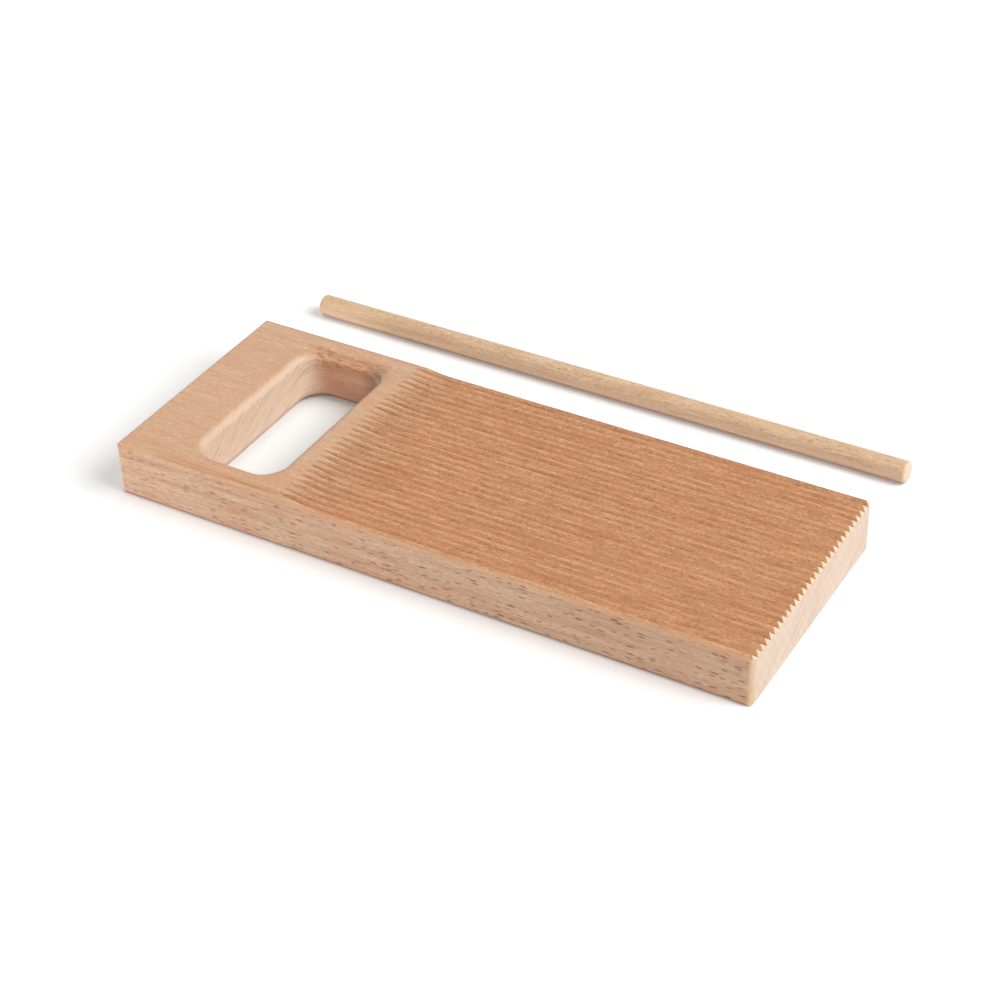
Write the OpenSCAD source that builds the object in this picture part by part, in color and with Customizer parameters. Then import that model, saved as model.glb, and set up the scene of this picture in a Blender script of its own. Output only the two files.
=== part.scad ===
// Gnocchi board: a solid beech board with a grip slot and lengthwise ridges,
// and the loose dowel that goes with it.
// Frame: origin at the centre of the board's underside, X along the length with
// the handle at -X, Y across the width, Z up. Millimetres.

/* [Board] */
// Length of the board, handle included
board_l = 236; // [180:1:320]
// Width of the board
board_w = 90; // [70:1:130]
// Thickness of the board
board_t = 20; // [16:0.5:30]
// Radius of the four upright corners
corner_r = 2.5; // [2:0.5:6]
// Radius of the long and end edges
edge_r = 1.5; // [0.5:0.1:2]
// Chamfer along the top of the ridged end
end_chamfer = 2; // [0.5:0.1:4]

/* [Grip slot] */
// Wood left between the handle end and the slot
handle_bar = 26; // [18:0.5:40]
// Width of the slot along the board
slot_w = 32; // [26:0.5:44]
// Length of the slot across the board
slot_l = 69.4; // [50:0.1:72]
// Radius of the slot's upright corners
slot_corner_r = 8; // [5:0.5:12]
// Round-over of the slot's upper rim along its two long sides
rim_top_r = 3; // [2:0.1:4]
// Softer round-over of the upper rim at the slot's two ends
rim_end_r = 4.5; // [2:0.1:5]
// Round-over of the slot's lower rim, where the fingers curl under
rim_bottom_r = 5.5; // [1:0.1:8]

/* [Ridges] */
// Number of ridges across the board
ridge_count = 30; // [20:1:36]
// Depth of each valley below the top face
valley_depth = 2.1; // [1.9:0.1:4]
// Included angle of the V cutter
valley_angle = 90; // [80:1:100]
// Flat wood left between the slot and the first touch of the cutter
ridge_start_gap = 7; // [5:0.5:20]
// Radius of the disc cutter that leaves the run-out
cutter_r = 60; // [30:1:120]

/* [Dowel] */
// Diameter of the dowel
dowel_d = 8; // [6:0.5:16]
// Length of the dowel
dowel_l = 236; // [150:1:300]
// Round-over of the dowel's ends
dowel_end_r = 1.2; // [0.3:0.1:2]
// Clear space between the board's back edge and the dowel
dowel_gap = 35.5; // [5:0.5:80]
// Shift of the dowel towards the handle end
dowel_shift = 2.2; // [-20:0.1:20]

/* [Hidden] */
$fn = 64;
// How far a cutter reaches past the face that it opens
overcut = 3;
// How far the end pass of the round-over cutter stays inside the first pass
end_pass_lap = 0.5;
slot_x0 = handle_bar - board_l / 2;
slot_x1 = slot_x0 + slot_w;
ridge_pitch = board_w / ridge_count;
// Distance that the disc cutter travels sideways from first touch to full depth
run_out_l = sqrt(cutter_r * cutter_r - pow(cutter_r - valley_depth, 2));
full_depth_x = slot_x1 + ridge_start_gap + run_out_l;
// Height of one V, from a valley up to the crest where two neighbours meet
vee_h = ridge_pitch / 2 / tan(valley_angle / 2);
gang_h = valley_depth + overcut;

// Rectangle centred on the origin with round corners
module round_rect(w, h, r) {
    square([w - 2 * r, h], center = true);
    square([w, h - 2 * r], center = true);
    for (x = [-1, 1], y = [-1, 1])
        translate([x * (w / 2 - r), y * (h / 2 - r)]) circle(r = r);
}

// The board before its cuts: plan, side and end outlines extruded and intersected
module blank() {
    intersection() {
        linear_extrude(board_t) round_rect(board_l, board_w, corner_r);
        translate([0, 0, board_t / 2]) rotate([90, 0, 0])
            linear_extrude(board_w + 2 * overcut, center = true)
                difference() {
                    round_rect(board_l, board_t, edge_r);
                    translate([board_l / 2, board_t / 2]) rotate(45)
                        square(end_chamfer * sqrt(2), center = true);
                }
        translate([0, 0, board_t / 2]) rotate([90, 0, 90])
            linear_extrude(board_l + 2 * overcut, center = true)
                round_rect(board_w, board_t, edge_r);
    }
}

// Half section of one pass round the slot: x = 0 is the centre of a corner of radius r,
// and the wall flares by rim_up at the top face and by rim_down at the underside
module slot_section(r, rim_up, rim_down) {
    translate([0, -overcut]) square([r, board_t + 2 * overcut]);
    difference() {
        translate([r, board_t - rim_up]) square([rim_up, rim_up + overcut]);
        translate([r + rim_up, board_t - rim_up]) circle(r = rim_up);
    }
    if (rim_down > 0) difference() {
        translate([r, -overcut]) square([rim_down, rim_down + overcut]);
        translate([r + rim_down, rim_down]) circle(r = rim_down);
    }
}

// One pass: the section run round a rectangle of w by l with corners of radius r
module slot_pass(w, l, r, rim_up, rim_down) {
    core_w = w - 2 * r;
    core_l = l - 2 * r;
    translate([(slot_x0 + slot_x1) / 2, 0, 0]) {
        translate([-core_w / 2, -core_l / 2, -overcut])
            cube([core_w, core_l, board_t + 2 * overcut]);
        for (side = [0, 1]) rotate([0, 0, 180 * side]) {
            translate([core_w / 2, core_l / 2, 0])
                rotate_extrude(angle = 90) slot_section(r, rim_up, rim_down);
            translate([core_w / 2, -core_l / 2, 0]) rotate([0, 0, -90])
                rotate_extrude(angle = 90) slot_section(r, rim_up, rim_down);
            translate([core_w / 2, core_l / 2, 0]) rotate([90, 0, 0])
                linear_extrude(core_l) slot_section(r, rim_up, rim_down);
            translate([-core_w / 2, core_l / 2, 0]) rotate([90, 0, 90])
                linear_extrude(core_w) slot_section(r, rim_up, rim_down);
        }
    }
}

// First pass: the slot with its rims
module slot_cutter() {
    slot_pass(slot_w, slot_l, slot_corner_r, rim_top_r, rim_bottom_r);
}

// Second pass: narrower, so that it only softens the upper rim at the slot's two ends
module rim_end_cutter() {
    inset = rim_end_r - rim_top_r + end_pass_lap;
    slot_pass(slot_w - 2 * inset, slot_l - end_pass_lap, slot_corner_r - inset, rim_end_r, 0);
}

// Sawtooth of the ganged V cutters, tips at y = 0 and the back at y = gang_h.
// A valley falls on each long edge, so both edges carry half a V.
function gang_tips() = [
    for (i = [0 : 2 * ridge_count + 2])
        [(i - ridge_count - 1) * ridge_pitch / 2, i % 2 == 0 ? vee_h : 0]
];
module gang_section() {
    half_w = (ridge_count + 1) * ridge_pitch / 2;
    polygon(concat(gang_tips(), [[half_w, gang_h], [-half_w, gang_h]]));
}

// Straight pass of the cutters to the ridged end, and the round run-out by the slot:
// the quarter of the spinning gang that lies on the slot's side of full depth
module ridge_cutter() {
    translate([full_depth_x, 0, board_t - valley_depth]) rotate([90, 0, 90])
        linear_extrude(board_l) gang_section();
    translate([full_depth_x, 0, board_t - valley_depth + cutter_r]) rotate([90, 0, 0])
        intersection() {
            rotate_extrude($fn = 180) translate([cutter_r, 0]) rotate(90) gang_section();
            translate([-cutter_r, -cutter_r - overcut, -board_w])
                cube([cutter_r, cutter_r, 2 * board_w]);
        }
}

module grooved_board() {
    color([0.82, 0.62, 0.45])
        difference() {
            difference() {
                blank();
                slot_cutter();
            }
            if (rim_end_r > rim_top_r) rim_end_cutter();
            ridge_cutter();
        }
}

module rolling_dowel() {
    color([0.85, 0.70, 0.52])
        translate([-dowel_shift, board_w / 2 + dowel_gap + dowel_d / 2, dowel_d / 2])
            rotate([0, 90, 0])
                rotate_extrude()
                    intersection() {
                        round_rect(dowel_d, dowel_l, dowel_end_r);
                        translate([0, -dowel_l / 2]) square([dowel_d, dowel_l]);
                    }
}

grooved_board();
rolling_dowel();
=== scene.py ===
# %% [markdown]
# A gnocchi board and its dowel
#
# The real object is a flat board of bare beech with a grip slot at one end and thirty
# lengthwise ridges, and a thin beech dowel that lies loose behind it. Gnocchi are rolled
# down the ridges, with a thumb or with the dowel, to give them their grooves.
#
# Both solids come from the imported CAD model, which is the fixed frame: their shapes are
# finished, ridges and round-overs too. What is left to Blender is how they look. This
# lesson sets the camera, gives bare beech its grain, and then lays the table and lights it.

import math
from types import SimpleNamespace

import bpy
from mathutils import Matrix, Vector

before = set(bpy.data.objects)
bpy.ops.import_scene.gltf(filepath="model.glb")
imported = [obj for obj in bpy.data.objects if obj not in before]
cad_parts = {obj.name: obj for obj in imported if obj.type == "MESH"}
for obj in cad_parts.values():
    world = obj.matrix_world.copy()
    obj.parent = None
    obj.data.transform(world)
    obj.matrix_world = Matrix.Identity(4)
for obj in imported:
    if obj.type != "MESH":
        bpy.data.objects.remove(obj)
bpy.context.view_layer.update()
MM = 0.001

# %% [markdown]
# The camera stands where the photographer stood: in front of the long side, towards the
# ridged end, and well above the table. A long lens keeps the long edges nearly parallel.
#
# A camera could be aimed with a Track To constraint, but that gives no roll, and this
# view is turned a little about its own axis. So the three axes of the camera are worked
# out from its angles, and they become the columns of its matrix.

# %% Camera
CAMERA_AZIMUTH = 31.06
CAMERA_ELEVATION = 36.226
CAMERA_ROLL = -1.909
CAMERA_DISTANCE = 763.91 * MM
AIM_RIGHT = 4.664 * MM
AIM_UP = 6.334 * MM
FOCAL_PIXELS = 2289.9
FRAME_PIXELS = 1000
SENSOR_WIDTH = 36.0


def camera_axes(azimuth, elevation, roll):
    """Right, up and backward directions of a camera that looks at the origin."""
    turn, tilt, spin = (math.radians(a) for a in (azimuth, elevation, roll))
    back = Vector((math.sin(turn) * math.cos(tilt), -math.cos(turn) * math.cos(tilt), math.sin(tilt)))
    right = Vector((math.cos(turn), math.sin(turn), 0.0))
    up = back.cross(right)
    rolled_right = right * math.cos(spin) + up * math.sin(spin)
    rolled_up = up * math.cos(spin) - right * math.sin(spin)
    return rolled_right, rolled_up, back


right, up, back = camera_axes(CAMERA_AZIMUTH, CAMERA_ELEVATION, CAMERA_ROLL)
lens = bpy.data.cameras.new("photo_camera")
lens.sensor_width = SENSOR_WIDTH
lens.lens = SENSOR_WIDTH * FOCAL_PIXELS / FRAME_PIXELS
lens.clip_start = 0.01
camera = bpy.data.objects.new("photo_camera", lens)
bpy.context.collection.objects.link(camera)
place = right * AIM_RIGHT + up * AIM_UP + back * CAMERA_DISTANCE
camera.matrix_world = Matrix.Translation(place) @ Matrix((right, up, back)).transposed().to_4x4()
bpy.context.scene.camera = camera
print("camera at", [round(v, 3) for v in place], "lens", round(lens.lens, 1), "mm")

# %% [markdown]
# A material is a graph of nodes, and a grain pattern needs dozens of them. Placed one by
# one they are hard to read, so this small class wraps one socket: each operator adds the
# Math node that does that sum, and shader maths reads as ordinary arithmetic. One method,
# add, makes any other node from its type, its settings and its inputs. A Wire without a
# socket is only a place to start from.

# %% A socket that can be added and multiplied
MIX_FACTOR, MIX_FIRST_COLOUR, MIX_SECOND_COLOUR, MIXED_COLOUR = 0, 6, 7, 2


class Wire:
    """One output socket of a material, with arithmetic."""

    def __init__(self, tree, socket):
        self.tree = tree
        self.socket = socket

    def add(self, kind, settings=None, inputs=None, output=0):
        """Adds a node of a kind, sets its settings, then fills or links its inputs."""
        node = self.tree.nodes.new(kind)
        for name, value in (settings or {}).items():
            setattr(node, name, value)
        for name, value in (inputs or {}).items():
            if isinstance(value, Wire):
                self.tree.links.new(value.socket, node.inputs[name])
            else:
                node.inputs[name].default_value = value
        return Wire(self.tree, node.outputs[output])

    def sum_of(self, operation, first, second=0.0):
        return self.add("ShaderNodeMath", {"operation": operation}, {0: first, 1: second})

    def __add__(self, other):
        return self.sum_of("ADD", self, other)

    def __sub__(self, other):
        return self.sum_of("SUBTRACT", self, other)

    def __mul__(self, other):
        return self.sum_of("MULTIPLY", self, other)

    def __truediv__(self, other):
        return self.sum_of("DIVIDE", self, other)

    def __radd__(self, other):
        return self.sum_of("ADD", other, self)

    def __rsub__(self, other):
        return self.sum_of("SUBTRACT", other, self)

    def __rmul__(self, other):
        return self.sum_of("MULTIPLY", other, self)

    def __rtruediv__(self, other):
        return self.sum_of("DIVIDE", other, self)

    def size(self):
        return self.sum_of("ABSOLUTE", self)

    def fraction(self):
        return self.sum_of("FRACT", self)

    def larger(self, other):
        return self.sum_of("MAXIMUM", self, other)

    def ramp(self, low, high, out_low=0.0, out_high=1.0):
        """A smooth step from out_low, below low, to out_high, above high."""
        return self.add(
            "ShaderNodeMapRange",
            {"interpolation_type": "SMOOTHSTEP"},
            {"Value": self, "From Min": low, "From Max": high, "To Min": out_low, "To Max": out_high},
        )

    def noise(self, x, y, z, detail=2.0, roughness=0.5):
        """Noise from 0 to 1, about 0.5 on average."""
        spot = self.add("ShaderNodeCombineXYZ", None, {"X": x, "Y": y, "Z": z})
        settings = {"noise_dimensions": "3D", "normalize": True}
        inputs = {"Vector": spot, "Scale": 1.0, "Detail": detail, "Roughness": roughness}
        return self.add("ShaderNodeTexNoise", settings, inputs)

    def split(self, scale=1.0):
        """The three parts of a vector or colour, each times a scale."""
        return [
            self.add("ShaderNodeSeparateXYZ", None, {0: self}, output=part) * scale
            for part in range(3)
        ]

    def tint(self, mask, first, second):
        """The first colour where mask is 0 and the second where it is 1."""
        settings = {"data_type": "RGBA", "clamp_factor": True}
        inputs = {MIX_FACTOR: mask, MIX_FIRST_COLOUR: first, MIX_SECOND_COLOUR: second}
        return self.add("ShaderNodeMix", settings, inputs, output=MIXED_COLOUR)


print("operators ready")

# %% [markdown]
# Blender's shaders take linear light, while the tans of the wood are easier to write as
# they look on a screen, from 0 to 255. This helper turns the one into the other.

# %% Colours as seen on screen
def srgb(red, green, blue):
    """A colour given as 0 to 255 on screen, as the linear values that a shader takes."""
    def linear(channel):
        c = channel / 255
        return c / 12.92 if c <= 0.04045 else ((c + 0.055) / 1.055) ** 2.4
    return (linear(red), linear(green), linear(blue), 1.0)


print("middle grey is", round(srgb(128, 128, 128)[0], 3))

# %% [markdown]
# Beech looks different on each of its faces. On the top it shows straight fibres, on the
# long sides many short dark flecks, and on the end grain thin lines. A flat picture of
# wood would need a seam at every corner. A solid texture has none, because each point
# takes its colour from its place in the tree: how far it is from the pith, how far round
# the pith, and how far along the grain. So each piece of wood is given a pith, the
# middle of the trunk, well outside the piece, and the three measures come from there.
#
# A real trunk is never quite straight, so a slow noise lets the pith wander. The pith is
# given as its place across the piece, in Y and Z, since the grain runs along X.

# %% Place in the tree
BOARD_PITH = (-150.0, -67.0)
DOWEL_PITH = (95.0, -60.0)
METRES_TO_MM = 1000.0
TRUNK_WANDER = (14.0, 8.0)


class Log:
    """The coordinates of one solid piece of wood, in mm, with its grain along X."""

    def __init__(self, tree, pith, shift):
        start = Wire(tree, None)
        spot = start.add("ShaderNodeTexCoord", output="Object")
        facing = start.add("ShaderNodeTexCoord", output="Normal")
        self.wire = start
        self.place_x, self.y, self.z = spot.split(METRES_TO_MM)
        self.facing_x, self.facing_y, self.facing_z = facing.split()
        self.x = self.place_x + shift
        wander = start.noise(self.x * 0.007, self.y * 0.015, self.z * 0.015) - 0.5
        across = self.y - pith[0] + wander * TRUNK_WANDER[0]
        above = self.z - pith[1] - wander * TRUNK_WANDER[1]
        self.radius = start.sum_of("SQRT", across * across + above * above)
        self.around = start.sum_of("ARCTAN2", above, across) * math.hypot(*pith)
        outward = self.facing_y * across + self.facing_z * above
        self.tangential = (outward / self.radius).size()


print("pith of the board at", BOARD_PITH, "and of the dowel at", DOWEL_PITH, "mm")

# %% [markdown]
# Rays are what tells beech from other woods. They are thin sheets of darker tissue that
# run from the pith outwards. Where a face cuts across them, here the long sides, each
# sheet shows as one short dark fleck along the grain.
#
# Painted dashes would look stamped. A Voronoi texture scatters one point in each cell,
# and when space is stretched so that a cell is long with the grain, thin round the tree
# and deep along the radius, the region near each point is a spindle. Each cell also has
# a random colour, which makes some flecks thicker and some fainter than others. Towards
# the handle they all grow fainter, so the left end of the board is read from the frame.

# %% Rays
RAY_LENGTH = 4.6
RAY_THICKNESS = 0.9
RAY_DEPTH = 22.0
THIN_RAY = 0.28
THICK_RAY = 0.46

board_corners = [Vector(corner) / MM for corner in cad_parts["grooved_board"].bound_box]
LEFT, FRONT = (round(min(corner[axis] for corner in board_corners), 2) for axis in (0, 1))
BACK, TOP = (round(max(corner[axis] for corner in board_corners), 2) for axis in (1, 2))
FAINTEST_RAY_X = LEFT + 8.0
CLEAREST_RAY_X = LEFT + 98.0


def ray_flecks(log):
    """1 inside a ray that the face cuts across, and 0 elsewhere."""
    drift = log.wire.noise(log.x * 0.05, log.y * 0.2, log.z * 0.2) * 2.4
    stretched = log.wire.add("ShaderNodeCombineXYZ", None, {
        "X": log.x / RAY_LENGTH, "Y": (log.around + drift) / RAY_THICKNESS, "Z": log.radius / RAY_DEPTH,
    })
    near = log.wire.add("ShaderNodeTexVoronoi", None, {"Vector": stretched, "Scale": 1.0})
    cell = log.wire.add("ShaderNodeTexVoronoi", None, {"Vector": stretched, "Scale": 1.0}, "Color")
    strength, width, _ = cell.split()
    reach = THIN_RAY + width * (THICK_RAY - THIN_RAY)
    fleck = (1.0 - (near / reach).ramp(0.4, 1.0)) * strength.ramp(0.1, 0.7, 0.15, 1.0)
    fleck = fleck * log.tangential.ramp(0.3, 0.8)
    return fleck * log.place_x.ramp(FAINTEST_RAY_X, CLEAREST_RAY_X, 0.6, 1.0)


print("rays", RAY_LENGTH, "mm long; board: left", LEFT, "front", FRONT, "back", BACK, "top", TOP, "mm")

# %% [markdown]
# The rest of the grain is noise, stretched along X because fibres run that way. A noise
# is stretched by giving it a small multiple of x. Each kind has its own scale: slow
# bands of colour, fibres, short stitches where fibres end, crumbs of rough surface, tiny
# pores, and the growth rings, which are the fraction of the radius over their spacing.
# Detail finer than about a millimetre vanishes at this distance, so the crumbs are large.

# %% Grain
RING_SPACING = 3.6


def grain(log):
    """Grey masks from 0 to 1, one for each kind of detail in the wood."""
    noise, x, y, z = log.wire.noise, log.x, log.y, log.z
    wavy = noise(x * 0.02, y * 0.2, z * 0.2) * 2.5
    ring = ((log.radius + wavy) / RING_SPACING).fraction()
    return SimpleNamespace(
        late=ring.ramp(0.35, 0.95) * ring.ramp(0.95, 1.0, 1.0, 0.0),
        band=noise(x * 0.010, y * 0.12, z * 0.12, detail=3.0).ramp(0.35, 0.65),
        fibre=noise(x * 0.09, y * 1.7, z * 1.7, detail=4.0, roughness=0.6).ramp(0.35, 0.65),
        stitch=noise(x * 0.4, y * 3.0, z * 3.0, detail=3.0, roughness=0.65).ramp(0.36, 0.64),
        pore=noise(x * 0.5, y * 5.0, z * 5.0, detail=1.0).ramp(0.62, 0.74),
        crumb=noise(x * 0.55, y * 1.2, z * 1.3, detail=3.0, roughness=0.75).ramp(0.35, 0.68),
        straw=noise(x * 0.07, y * 0.4, z * 0.4, detail=3.0, roughness=0.6).ramp(0.42, 0.62),
        blush=noise(x * 0.06, y * 0.5, z * 0.5 + 30.0, detail=3.0, roughness=0.6).ramp(0.45, 0.65),
        figure=noise(x * 0.035, y * 0.7, z * 0.7 + 60.0, detail=4.0, roughness=0.65).ramp(0.46, 0.64),
        ray=ray_flecks(log),
    )


print("rings", RING_SPACING, "mm apart")

# %% [markdown]
# One noise through one colour ramp looks like printed plastic. Real wood varies in several
# ways at once, so its colour is built up in layers, as a painter glazes: each line blends
# one more tan over what is there, by one mask times the most that it may cover. The top
# face shows the fibres lengthwise, so it is the plainest, with straw and pink patches.

# %% The top face
def top_wood(log, marks, tans, fleck, mottle):
    tint = log.wire.tint
    wood = tint(marks.fibre * 0.65, tans["light"], tans["dark"])
    wood = tint(marks.stitch * 0.5, wood, tans["dark"])
    wood = tint(marks.crumb * 0.5, wood, tans["pore"])
    wood = tint(marks.band * 0.4, wood, tans["warm"])
    wood = tint(marks.late * 0.2, wood, tans["dark"])
    wood = tint(marks.straw * mottle, wood, tans["straw"])
    wood = tint(marks.blush * mottle, wood, tans["blush"])
    wood = tint(marks.ray * fleck, wood, tans["fleck"])
    return tint(marks.pore * 0.3, wood, tans["pore"])


print("top face ready")

# %% [markdown]
# The long sides carry the flecks, over bands of greyer and pinker wood. Inside the slot
# the wood was cut more cleanly and has had no sun, so it is plainer, with few flecks
# and a redder tone. The slot's mask is 1 there, and it fades each of these in or out.

# %% The long sides
def side_wood(log, marks, tans, fleck, mottle, in_slot):
    tint = log.wire.tint
    wood = tint(marks.fibre * (0.5 + in_slot * 0.5), tans["side_light"], tans["side_dark"])
    wood = tint(marks.stitch * 0.5, wood, tans["side_dark"])
    wood = tint(marks.crumb * 0.4, wood, tans["pore"])
    wood = tint(marks.late * 0.3, wood, tans["side_warm"])
    wood = tint(marks.straw * (mottle * 0.5), wood, tans["straw"])
    wood = tint(marks.blush * mottle, wood, tans["blush"])
    wood = tint(marks.figure * (1.0 - in_slot) * 0.4, wood, tans["side_deep"])
    wood = tint(in_slot * 0.3, wood, tans["slot_warm"])
    return tint(marks.ray * (1.0 - in_slot * 0.8) * fleck, wood, tans["fleck"])


print("long sides ready")

# %% [markdown]
# End grain is the tree in section: the rays are seen edge on, as fine lines that run out
# from the pith, and the growth rings cross them faintly. A wave texture would rule them
# evenly. A noise that is fine round the tree and very long along the radius gives lines
# that start, fade and vary in width, as real ones do. On the real board they show best
# inside the slot. At the ridged end they blur into wider, soft waves, and the bevel above
# them is painted paler and yellower: a painted highlight where it catches the light.

# %% End grain
def end_wood(log, marks, tans, in_slot):
    noise, tint = log.wire.noise, log.wire.tint
    ray_line = noise(log.around * 2.5, log.radius * 0.05, log.x * 0.05, detail=4.0, roughness=0.65)
    ray_line = ray_line.ramp(0.55, 0.62) * log.facing_z.ramp(0.2, 0.6, 1.0, 0.2)
    cross = noise(log.radius * 0.6, log.around * 0.09, log.x * 0.05, detail=4.0).ramp(0.42, 0.68)
    far_end = log.facing_x.ramp(0.5, 0.65) * (1.0 - in_slot)
    wave = noise(log.around * 0.8, log.radius * 0.04, 5.0, detail=3.0, roughness=0.6).ramp(0.45, 0.6)
    wood = tint(cross * 0.28, tans["end_light"], tans["end_dark"])
    wood = tint(marks.late * 0.16 * (1.0 - in_slot), wood, tans["end_ring"])
    wood = tint(in_slot * 0.5, wood, tans["side_light"])
    wood = tint(ray_line * (0.4 + in_slot * 0.3), wood, tans["end_ray"])
    wood = tint(marks.crumb * 0.15, wood, tans["end_ray"])
    wood = tint(far_end * wave * 0.24, wood, tans["end_ray"])
    # The bevel at the far end is made paler and yellower: a painted highlight.
    return tint(far_end * log.facing_z.ramp(0.5, 0.65) * 0.45, wood, tans["bevel_highlight"]), ray_line


print("end grain ready")

# %% [markdown]
# One recipe now paints a whole piece. The object's own normal says which face a point is
# on, and a soft step between faces keeps the round-overs smooth. The same masks that
# colour the wood also raise and lower it in a Bump node. What was done to one piece alone,
# and the light and shade painted on it, is passed in as a function.

# %% Beech
HANDLE_BAR = 26.0
SLOT_WIDTH = 32.0
SLOT_LENGTH = 69.4
SIDE_RIM = 4.0
END_RIM = 4.3
SLOT_MIDDLE_X = LEFT + HANDLE_BAR + SLOT_WIDTH / 2


def inside_slot(log):
    """1 on the walls and rims of the grip slot, and 0 on the rest of the board."""
    along = (log.place_x - SLOT_MIDDLE_X).size() - (SLOT_WIDTH / 2 + SIDE_RIM)
    return along.larger(log.y.size() - (SLOT_LENGTH / 2 + END_RIM)).ramp(0.0, 1.0, 1.0, 0.0)


print("slot", SLOT_WIDTH, "x", SLOT_LENGTH, "mm, its middle at x", SLOT_MIDDLE_X, "mm")


def beech(name, pith, tans, flecks, mottle, workmanship_and_painted_light, shift=0.0, slotted=False):
    """Bare beech. The tans are named colours; the last function adds work and painted light."""
    material = bpy.data.materials.new(name)
    material.use_nodes = True
    shader = material.node_tree.nodes["Principled BSDF"]
    log = Log(material.node_tree, pith, shift)
    marks = grain(log)
    tint = log.wire.tint
    in_slot = inside_slot(log) if slotted else 0.0

    end = log.facing_x.size().ramp(0.4 - in_slot * 0.3, 0.72 + in_slot * 0.23)
    side = log.facing_y.size().ramp(0.4, 0.9)
    sawn, ray_line = end_wood(log, marks, tans, in_slot)
    wood = tint(
        side,
        top_wood(log, marks, tans, flecks[0], mottle),
        side_wood(log, marks, tans, flecks[1], mottle, in_slot),
    )
    wood = tint(end, wood, sawn)

    relief = marks.crumb * 0.4 + marks.fibre * 0.3 + marks.stitch * 0.6
    relief = relief - marks.pore * 0.8 - marks.ray * 0.4 - ray_line * end * 0.5
    wood, relief = workmanship_and_painted_light(log, wood, relief, end, in_slot, tans)
    bump = log.wire.add(
        "ShaderNodeBump", None, {"Strength": 0.4, "Distance": 0.2 * MM, "Height": relief}
    )
    rough = 0.55 + marks.stitch * 0.12 + marks.pore * 0.15
    for value, socket in ((wood, "Base Color"), (rough, "Roughness"), (bump, "Normal")):
        material.node_tree.links.new(value.socket, shader.inputs[socket])
    shader.inputs["Specular IOR Level"].default_value = 0.3
    print(name, "has", len(material.node_tree.nodes), "nodes")
    return material


# %% [markdown]
# The ridges were cut by a gang of V cutters. A cutter tears bare beech a little, so each
# crest is a row of short pale splinters, and each valley a row of darker dashes. These rows
# are partly painted light as well: pale on the crests as a painted highlight, and dark in
# the valleys as a painted shade. The shape of the ridges is already in the mesh. Only these
# streaks are painted, and because the ridges stand a fixed pitch apart, the place across
# the board tells crest from valley: lift is 1 on a crest and 0 in a valley. It wobbles
# slightly, and in the run-out, where the cutter leaves the wood, it is ragged.
#
# A row and its dashes are two noises multiplied: a long one says where the row is torn,
# and a short one, chips, breaks it up. In the run-out the same chips, as frayed fibres,
# are raised by the bump.

# %% Streaks of the cutters
RIDGE_COUNT = 30
RIDGE_PITCH = (BACK - FRONT) / RIDGE_COUNT
RIDGE_START_GAP = 7.0
RIDGES_FROM_X = LEFT + HANDLE_BAR + SLOT_WIDTH + RIDGE_START_GAP
RUN_OUT_LENGTH = 26.0
VALLEY_DEPTH = 2.1
VALLEY_Z = TOP - VALLEY_DEPTH


def cutter_streaks(log, end):
    """Masks for the ridged area and for the streaks on it."""
    noise, x, y, z = log.wire.noise, log.place_x, log.y, log.z
    cut = z.ramp(TOP - 0.1, TOP - 0.01, 1.0, 0.0) * z.ramp(VALLEY_Z - 0.5, VALLEY_Z - 0.15)
    cut = cut * x.ramp(RIDGES_FROM_X - 1.0, RIDGES_FROM_X) * (1.0 - end)
    wobble = noise(x * 0.12, y * 0.4, 2.0, detail=2.0) - 0.5
    ragged = noise(x * 0.35, y * 1.1, 12.0, detail=3.0, roughness=0.7) - 0.5
    run_out = x.ramp(RIDGES_FROM_X + 4.0, RIDGES_FROM_X + RUN_OUT_LENGTH, 1.0, 0.0)
    sideways = wobble * 0.25 + ragged * run_out * 2.2
    chips = noise(x * 0.6, y * 1.9, 33.0, detail=3.0, roughness=0.75).ramp(0.38, 0.62)
    torn_row = noise(x * 0.1, y * 1.0, 9.0, detail=2.0).ramp(0.38, 0.62)
    dark_row = noise(x * 0.1, y * 0.9, 21.0, detail=2.0).ramp(0.4, 0.64)
    return SimpleNamespace(
        cut=cut * log.facing_z.ramp(0.2, 0.5),
        run_out=run_out,
        frayed=(ragged + chips - 0.5) * run_out,
        lift=(((y + sideways) / RIDGE_PITCH + 0.5).fraction() - 0.5).size() * 2.0,
        red=noise(x * 0.016, y * 0.2, 4.0, detail=3.0).ramp(0.45, 0.64),
        pale=torn_row * (0.15 + chips * 0.85),
        dark=dark_row * (1.0 - chips * 0.85),
        scratch=noise(x * 0.05, y * 1.4, 50.0, detail=3.0, roughness=0.7).ramp(0.42, 0.6),
        grit=noise(x * 0.7, y * 1.7, z * 2.0, detail=3.0, roughness=0.8).ramp(0.34, 0.66),
    )


print("ridges from x", RIDGES_FROM_X, "mm, pitch", RIDGE_PITCH, "mm")

# %% [markdown]
# The ridged wood is given a warmer and redder tone than the rest. The tone is layered from
# the streaks and laid over the plain wood. Near the slot each groove runs out on the curve
# of its cutter and gets shallower, and there the wood between the grooves keeps its paler
# tone, so the colour is laid on more thinly.

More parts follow.
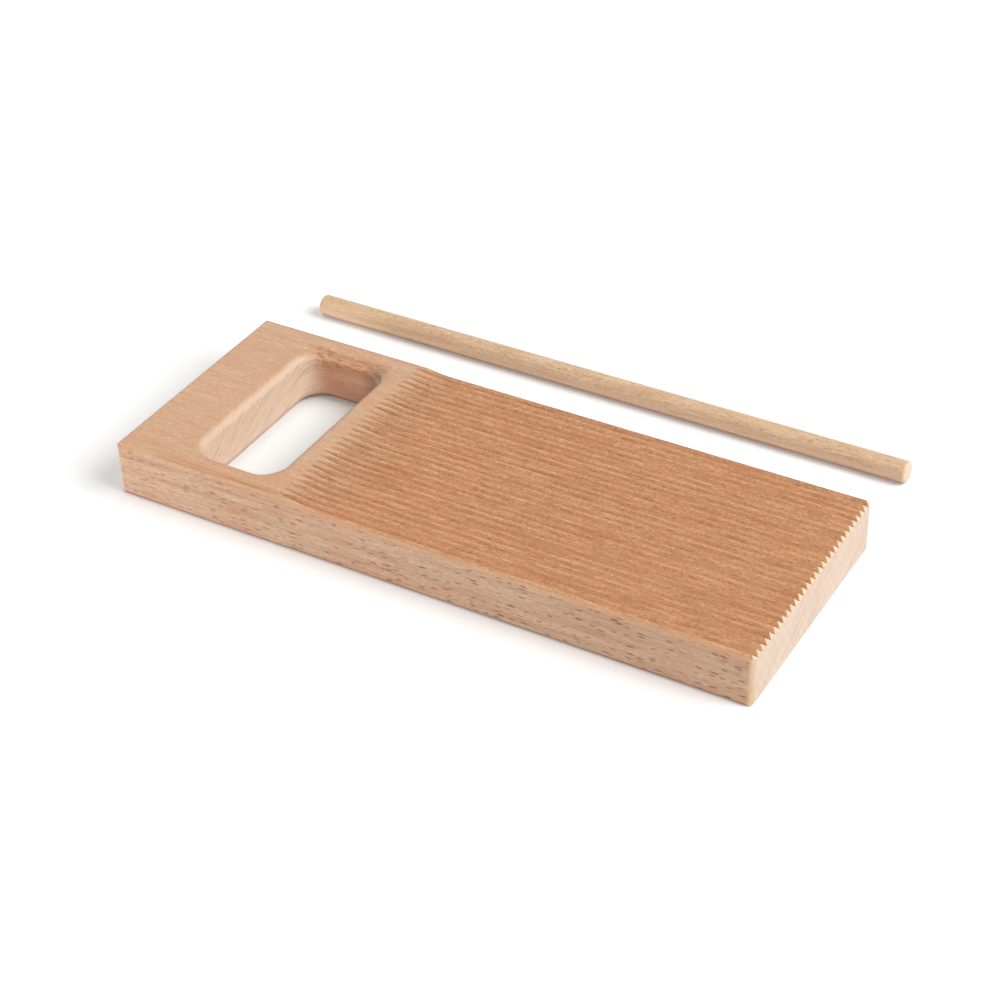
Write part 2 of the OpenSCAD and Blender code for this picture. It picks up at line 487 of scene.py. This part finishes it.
# %% Ridged wood
def ridged_wood(log, wood, streaks, tans):
    tint, lift = log.wire.tint, streaks.lift
    # Away from the run-out the valleys are lightened a little: painted light that softens the shade
    # inside the V grooves.
    painted_valley_light = lift.ramp(0.0, 0.6, 0.3, 0.0) * (1.0 - streaks.run_out)
    tone = tint(streaks.grit, tans["cut_light"], tans["cut_dark"])
    tone = tint(streaks.red * 0.45, tone, tans["cut_red"])
    tone = tint(streaks.scratch * 0.25, tone, tans["cut_deep"])
    tone = tint(painted_valley_light, tone, tans["valley_light_tan"])
    # Dark dashes weighted to the valleys and pale ones to the crests: torn wood, with painted shade and
    # a painted highlight.
    tone = tint(streaks.dark * lift.ramp(0.2, 0.8, 0.45, 0.15), tone, tans["cut_deep"])
    tone = tint(streaks.pale * lift.ramp(0.5, 0.9, 0.15, 0.7), tone, tans["torn"])
    return tint(streaks.cut * (1.0 - streaks.run_out * 0.35), wood, tone)


def run_out_strokes(log, wood, streaks, tans):
    """Painted shade in each groove where it dies out, and pale splinters between them, partly a painted
    highlight.
    """
    tint, lift = log.wire.tint, streaks.lift
    start = log.place_x.ramp(RIDGES_FROM_X - 3.0, RIDGES_FROM_X + 2.0)
    near = streaks.run_out * start * log.facing_z.ramp(0.5, 0.7)
    groove = streaks.cut * lift.ramp(0.0, 0.5, 0.4, 0.0) * (0.3 + streaks.dark * 0.7)
    wood = tint(near * groove, wood, tans["cut_deep"])
    wood = tint(near * streaks.dark * 0.25, wood, tans["cut_deep"])
    return tint(near * streaks.pale * lift.ramp(0.4, 0.9, 0.15, 0.45), wood, tans["torn"])


print("ridged wood ready")

# %% [markdown]
# A hand has worn a reddish streak along the front rim of the handle, and a fainter one
# behind the slot. The front of the handle's top is made warmer and darker towards the
# front edge. The milling cutter tore short brown fibres out of the slot's far rim, and it
# rubbed at one corner and left a small grey scorch. That grey patch is also a painted
# shade for the inner corner of the slot, where the back wall meets the side. A worn streak
# is a distance from a line, and the scorch a distance from a point, each turned into a
# mask by a soft ramp and broken up by noise.

# %% Wear, scorch and painted corner shade
FRONT_STREAK_Y = FRONT + 1.7
BACK_STREAK_Y = SLOT_LENGTH / 2
SCORCH_AND_SHADE = (SLOT_MIDDLE_X + 15.0, SLOT_LENGTH / 2 - 0.7, TOP - 8.0)
SCORCH_AND_SHADE_SIZE = 12.0


def worn_streaks(log, wood, streaks, end, tans):
    x, y, z = log.place_x, log.y, log.z
    from_middle = (x - SLOT_MIDDLE_X).size()
    by_front = (y - FRONT_STREAK_Y).size().ramp(0.3, 4.6, 1.0, 0.0)
    by_front = by_front * from_middle.ramp(16.0, 34.0, 1.0, 0.0) * z.ramp(TOP - 2.0, TOP - 0.5)
    by_slot = (y - BACK_STREAK_Y).size().ramp(2.4, 5.0, 1.0, 0.0)
    by_slot = by_slot * from_middle.ramp(12.0, 19.0, 1.0, 0.0) * z.ramp(TOP - 8.0, TOP - 3.0)
    by_slot = by_slot * (1.0 - end)
    uneven = log.wire.noise(x * 0.02, y * 0.9, z * 0.4, detail=3.0).ramp(0.35, 0.65)
    # The front of the handle's top is made warmer and darker towards the front edge.
    warmer_to_front = y.ramp(FRONT, FRONT + 37.0, 0.16, 0.0) * z.ramp(TOP - 3.0, TOP - 1.0)
    worn = (by_front * 0.9 + by_slot * 0.55) * (0.3 + uneven * 0.7)
    wood = log.wire.tint(worn.larger(warmer_to_front) * (1.0 - streaks.cut), wood, tans["worn"])
    torn = log.wire.noise(x * 0.22, y * 1.5, z * 1.5, detail=3.0, roughness=0.7).ramp(0.5, 0.6)
    torn = torn * by_slot * (x - SLOT_MIDDLE_X).ramp(-8.0, 10.0, 0.7, 0.5)
    return log.wire.tint(torn, wood, tans["cut_deep"])


def scorch_and_corner_shade(log, wood, tans):
    away = [(a - b) / SCORCH_AND_SHADE_SIZE for a, b in zip((log.place_x, log.y, log.z), SCORCH_AND_SHADE)]
    squares = away[0] * away[0] + away[1] * away[1] + away[2] * away[2] * 0.5
    near = log.wire.sum_of("SQRT", squares).ramp(0.0, 1.0, 1.0, 0.0)
    patchy = log.wire.noise(log.place_x * 0.5, log.y * 0.5, log.z * 0.15, detail=3.0).ramp(0.3, 0.7)
    # Part of this grey patch is a painted shade for the slot's inner corner, stronger on the walls.
    smoke_and_shade = near * (0.55 + patchy * 0.3) * log.facing_z.ramp(0.6, 0.95, 1.0, 0.4)
    return log.wire.tint(smoke_and_shade, wood, tans["soot_and_shade"])


print("scorch_and_corner_shade", SCORCH_AND_SHADE_SIZE, "mm across at", SCORCH_AND_SHADE)

# %% [markdown]
# Edges are given light and shade. Those that are turned away from the light are darkened,
# a painted shade. The lowest round-overs are dark where the board meets the table, also a
# painted shade, and the upright corners are made pale, a painted highlight. The front edge
# of the ridged area is made a little darker. Each is a thin line, found by the way its
# surface faces. The slot's lower rim is broader than the board's, so its dark line starts
# further down, just where the wall turns under.

# %% Edges of the board
def edge_shade_and_highlight(log, wood, streaks, in_slot, tans):
    tint, cut = log.wire.tint, streaks.cut
    # The slot's rim, the back edge and the last crest turn away from the light; the dark tan laid on
    # them is a painted shade.
    slot_rim = log.facing_x.ramp(-0.55, -0.3, 1.0, 0.0) * log.facing_z.ramp(0.3, 0.6)
    back_edge = log.facing_y.ramp(0.03, 0.25) * log.facing_z.ramp(0.6, 0.75)
    back_edge = back_edge * (1.0 - cut) * log.y.ramp(BACK - 4.0, BACK - 3.0)
    back_crest = cut * (log.y - (BACK - RIDGE_PITCH / 2)).size().ramp(0.1, 0.5, 0.6, 0.0)
    wood = tint(slot_rim.larger(back_edge).larger(back_crest) * 0.5, wood, tans["arris_shade"])
    # The upright corners are made paler and yellower, broken up by grit: a painted highlight.
    corner = log.facing_x.size().ramp(0.2, 0.5) * log.facing_x.size().ramp(0.9, 0.99, 1.0, 0.0)
    corner = corner * log.facing_z.size().ramp(0.3, 0.6, 1.0, 0.0) * (1.0 - in_slot)
    wood = tint(corner * (0.35 + streaks.grit * 0.4), wood, tans["corner"])
    # The front edge of the ridged area is made a little darker.
    wood = tint(cut * log.y.ramp(FRONT + 0.4, FRONT + 1.4, 0.5, 0.0), wood, tans["dark"])
    # The lowest round-overs and the slot's lower rim are darkened where the board meets the table: a
    # painted shade.
    foot_shade = log.facing_z.ramp(-0.45, -0.1, 1.0, 0.0) * (1.0 - in_slot)
    slot_foot_shade = log.facing_z.ramp(-0.65, -0.3, 1.0, 0.0) * in_slot
    above_sole = log.facing_z.ramp(-0.9, -0.75)
    return tint((foot_shade + slot_foot_shade) * above_sole * 0.75, wood, tans["fleck"])


print("edges ready")

# %% [markdown]
# Now the board gets its tans. Each is one colour that the real wood shows somewhere, a few
# of them painted light or shade, and the light ones are the ground on which the darker
# ones are laid.

# %% The board
BOARD_TANS = {
    "light": srgb(246, 206, 174),
    "dark": srgb(210, 168, 135),
    "warm": srgb(211, 163, 125),
    "pore": srgb(170, 122, 90),
    "straw": srgb(208, 178, 138),
    "blush": srgb(212, 154, 126),
    "fleck": srgb(144, 84, 56),
    "side_light": srgb(238, 206, 177),
    "side_dark": srgb(206, 168, 138),
    "side_warm": srgb(205, 155, 125),
    "side_deep": srgb(180, 134, 106),
    "slot_warm": srgb(250, 184, 154),
    "end_light": srgb(220, 202, 184),
    "end_dark": srgb(206, 184, 162),
    "end_ring": srgb(210, 168, 144),
    "end_ray": srgb(184, 144, 116),
    "bevel_highlight": srgb(240, 208, 162),
    # painted highlight on the upright corners
    "corner": srgb(230, 186, 142),
    "cut_light": srgb(230, 177, 132),
    "cut_dark": srgb(196, 143, 103),
    "cut_red": srgb(204, 136, 99),
    "cut_deep": srgb(150, 98, 62),
    # painted light in the valleys of the ridges
    "valley_light_tan": srgb(238, 188, 142),
    "torn": srgb(240, 194, 148),
    "worn": srgb(190, 130, 86),
    # painted shade on edges turned away from the light
    "arris_shade": srgb(112, 92, 76),
    # grey of the scorch, which is also a painted shade in the slot's corner
    "soot_and_shade": srgb(92, 76, 64),
}


def board_work(log, wood, relief, end, in_slot, tans):
    """All that cutters and hands have done to the board, and its painted light and shade."""
    streaks = cutter_streaks(log, end)
    wood = ridged_wood(log, wood, streaks, tans)
    wood = run_out_strokes(log, wood, streaks, tans)
    wood = worn_streaks(log, wood, streaks, end, tans)
    wood = edge_shade_and_highlight(log, wood, streaks, in_slot, tans)
    wood = scorch_and_corner_shade(log, wood, tans)
    relief = relief + streaks.cut * (streaks.grit * 0.7 + streaks.pale * 0.6 - streaks.dark * 0.6)
    return wood, relief + streaks.cut * streaks.frayed * 1.0


board_beech = beech("board_beech", BOARD_PITH, BOARD_TANS, (0.3, 0.85), 0.6, board_work, slotted=True)

# %% [markdown]
# The dowel is a paler and yellower piece of beech. Its pith lies right below it, so its
# flecks show along the top. Turned on a lathe, it was cut across the fibres all round:
# long olive streaks and a few open pores show on its upper half. Its back has a painted
# highlight, its lower front is pinker and lighter, partly painted light, and a painted
# shade runs along below as a dark line. The grain is the board's own recipe, shifted
# 400 mm along the trunk so that no band repeats.

# %% The dowel
DOWEL_TANS = {
    "light": srgb(248, 222, 190),
    "dark": srgb(224, 190, 157),
    "warm": srgb(220, 182, 144),
    "pore": srgb(176, 132, 98),
    "straw": srgb(230, 202, 166),
    "blush": srgb(212, 162, 128),
    "fleck": srgb(140, 96, 66),
    "side_light": srgb(248, 222, 190),
    "side_dark": srgb(224, 190, 157),
    "side_warm": srgb(216, 174, 136),
    "side_deep": srgb(206, 166, 128),
    "slot_warm": srgb(218, 184, 150),
    "end_light": srgb(236, 212, 184),
    "end_dark": srgb(222, 194, 162),
    "end_ring": srgb(212, 178, 146),
    "end_ray": srgb(196, 166, 140),
    "bevel_highlight": srgb(236, 212, 184),
    "rosy_painted_light": srgb(250, 210, 180),
    "painted_back_highlight": srgb(255, 236, 206),
    "aged": srgb(212, 176, 134),
}


def dowel_work(log, wood, relief, end, in_slot, tans):
    """Olive streaks, open pores, a painted highlight behind, a pinker front lit by painted light, and
    painted shade below.
    """
    noise, tint = log.wire.noise, log.wire.tint
    below = log.facing_z.ramp(-0.1, 0.6, 0.6, 0.0)
    olive = noise(log.x * 0.07, log.y * 0.9, log.z * 0.9, detail=3.0, roughness=0.6).ramp(0.48, 0.62)
    speck = noise(log.x * 0.7, log.y * 1.7, log.z * 1.7, detail=2.0).ramp(0.62, 0.74)
    wood = tint(log.place_x.ramp(LEFT, LEFT + 88.0, 0.3, 0.0), wood, tans["aged"])
    wood = tint(olive * (1.0 - below) * 0.55, wood, tans["aged"])
    # The lower front is made pinker and lighter: a pinker tone with painted light on the underside.
    wood = tint(below * (1.0 - end) * (1.0 - olive * 0.5), wood, tans["rosy_painted_light"])
    wood = tint(speck * (1.0 - below) * 0.6, wood, tans["fleck"])
    # The back is made pale: a painted highlight.
    wood = tint(log.facing_y.ramp(0.1, 0.8) * 0.5, wood, tans["painted_back_highlight"])
    # A dark line along the underside: a painted shade.
    wood = tint(log.facing_z.ramp(-0.62, -0.3, 0.6, 0.0) * (1.0 - end), wood, tans["fleck"])
    return wood, relief - speck * 0.5


dowel_beech = beech("dowel_beech", DOWEL_PITH, DOWEL_TANS, (0.35, 0.3), 0.4, dowel_work, shift=400.0)

# %% [markdown]
# A dressed copy could take the place of each solid, and would be the way if its shape
# had to be finer. Here the CAD shapes are finished, so the solids keep their meshes and
# only change their finish: the new material goes into every slot of the CAD object.

# %% Dress the solids
for node_name, finish in (("grooved_board", board_beech), ("rolling_dowel", dowel_beech)):
    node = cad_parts[node_name]
    for material_slot in node.material_slots:
        material_slot.material = finish
    print(node_name, "wears", finish.name, "in", len(node.material_slots), "slot")

# %% [markdown]
# The table is one large white plane. Lit until it is pure white, it would throw so much
# light back that the wood would look washed out. So it is lit only as far as the wood
# needs, and a little of its whiteness is shown to the camera and to reflections alone.
# Light Path tells these rays apart. The soft shadows still fall on it.
#
# Three places need their own glow. Far from the board the lamp's light falls off, so the
# glow grows with distance. Behind the board it is a little stronger, which keeps the
# dowel's shadow narrow. And the paper that shows through the slot is lit by light off
# the wood, which turns it pink, so there the glow is cooler.

# %% Table
TABLE_SIZE = 6.0
PAPER = (0.885, 0.9, 0.905, 1.0)
PAPER_GLOW = (0.15, 0.135, 0.13, 1.0)
FAR_GLOW = (0.5, 0.485, 0.48, 1.0)
SLOT_GLOW = (0.16, 0.19, 0.19, 1.0)
BEHIND_GLOW = (0.22, 0.205, 0.2, 1.0)
DARK = (0.0, 0.0, 0.0, 1.0)
FAR_FROM, FAR_TO = 200.0, 900.0
BEHIND_FROM, BEHIND_TO = BACK + 3.0, BACK + 25.0
SLOT_GLOW_X = (12.0, 24.0)
SLOT_GLOW_Y = (28.0, 42.0)
SEEN_RAYS = ("Is Camera Ray", "Is Glossy Ray", "Is Transmission Ray")


def seen_directly(wire):
    """1 for rays of the camera, of reflections and of glass, and 0 for the light itself."""
    camera_ray, glossy_ray, glass_ray = (
        wire.add("ShaderNodeLightPath", output=ray) for ray in SEEN_RAYS
    )
    return wire.sum_of("MINIMUM", camera_ray + glossy_ray + glass_ray, 1.0)


bpy.ops.object.select_all(action="DESELECT")
bpy.ops.mesh.primitive_plane_add(size=TABLE_SIZE, location=(0.0, 0.0, 0.0))
table = bpy.context.active_object
table.name = "table_top"
paper = bpy.data.materials.new("white_table")
paper.use_nodes = True
paper_shader = paper.node_tree.nodes["Principled BSDF"]
paper_shader.inputs["Base Color"].default_value = PAPER
paper_shader.inputs["Roughness"].default_value = 0.9
paper_shader.inputs["Specular IOR Level"].default_value = 0.1
paper_shader.inputs["Emission Strength"].default_value = 1.0
paper_wire = Wire(paper.node_tree, None)
spot_x, spot_y, _ = paper_wire.add("ShaderNodeTexCoord", output="Object").split(METRES_TO_MM)
far = paper_wire.sum_of("SQRT", spot_x * spot_x + spot_y * spot_y).ramp(FAR_FROM, FAR_TO)
under_slot = (spot_x - SLOT_MIDDLE_X).size().ramp(*SLOT_GLOW_X, 1.0, 0.0)
under_slot = under_slot * spot_y.size().ramp(*SLOT_GLOW_Y, 1.0, 0.0)
glow = paper_wire.tint(spot_y.ramp(BEHIND_FROM, BEHIND_TO), PAPER_GLOW, BEHIND_GLOW)
glow = paper_wire.tint(under_slot, paper_wire.tint(far, glow, FAR_GLOW), SLOT_GLOW)
glow = paper_wire.tint(seen_directly(paper_wire), DARK, glow)
paper.node_tree.links.new(glow.socket, paper_shader.inputs["Emission Color"])
table.data.materials.append(paper)
print("table", TABLE_SIZE, "m across")

# %% [markdown]
# A sky picture could light the scene, but it is a file from outside. So the light is a
# soft white room and one large round lamp far to the right, like a window. It lights the
# ridged end, and leaves a soft shadow at the handle end. A small
# weak lamp at the front left keeps that corner from going dull. The world is dimmer
# for the light itself than for the camera, by the same trick as the table.

# %% Light
ROOM_LIGHT = 0.39
LAMP_PLACE = Vector((1.6, 0.16, 1.52))
LAMP_SIZE = 1.6
LAMP_POWER = 47.0
FILL_PLACE = Vector((-0.35, -0.30, 0.11))
FILL_SIZE = 0.2
FILL_POWER = 0.7

world = bpy.data.worlds.new("white_room")
bpy.context.scene.world = world
world.use_nodes = True
room = world.node_tree
background = room.nodes["Background"]
background.inputs["Color"].default_value = (1.0, 1.0, 1.0, 1.0)
strength = seen_directly(Wire(room, None)).ramp(0.0, 1.0, ROOM_LIGHT, 1.0)
room.links.new(strength.socket, background.inputs["Strength"])


def lamp(name, place, size, power):
    """A round soft lamp that faces the middle of the board."""
    light = bpy.data.lights.new(name, "AREA")
    light.shape = "DISK"
    light.size = size
    light.energy = power
    stand = bpy.data.objects.new(name, light)
    bpy.context.collection.objects.link(stand)
    stand.location = place
    stand.rotation_euler = place.to_track_quat("Z", "Y").to_euler()
    stand.visible_camera = False


lamp("window_lamp", LAMP_PLACE, LAMP_SIZE, LAMP_POWER)
lamp("fill_lamp", FILL_PLACE, FILL_SIZE, FILL_POWER)
bpy.context.scene.view_settings.view_transform = "Standard"
print("lamps of", LAMP_POWER, "and", FILL_POWER, "W")
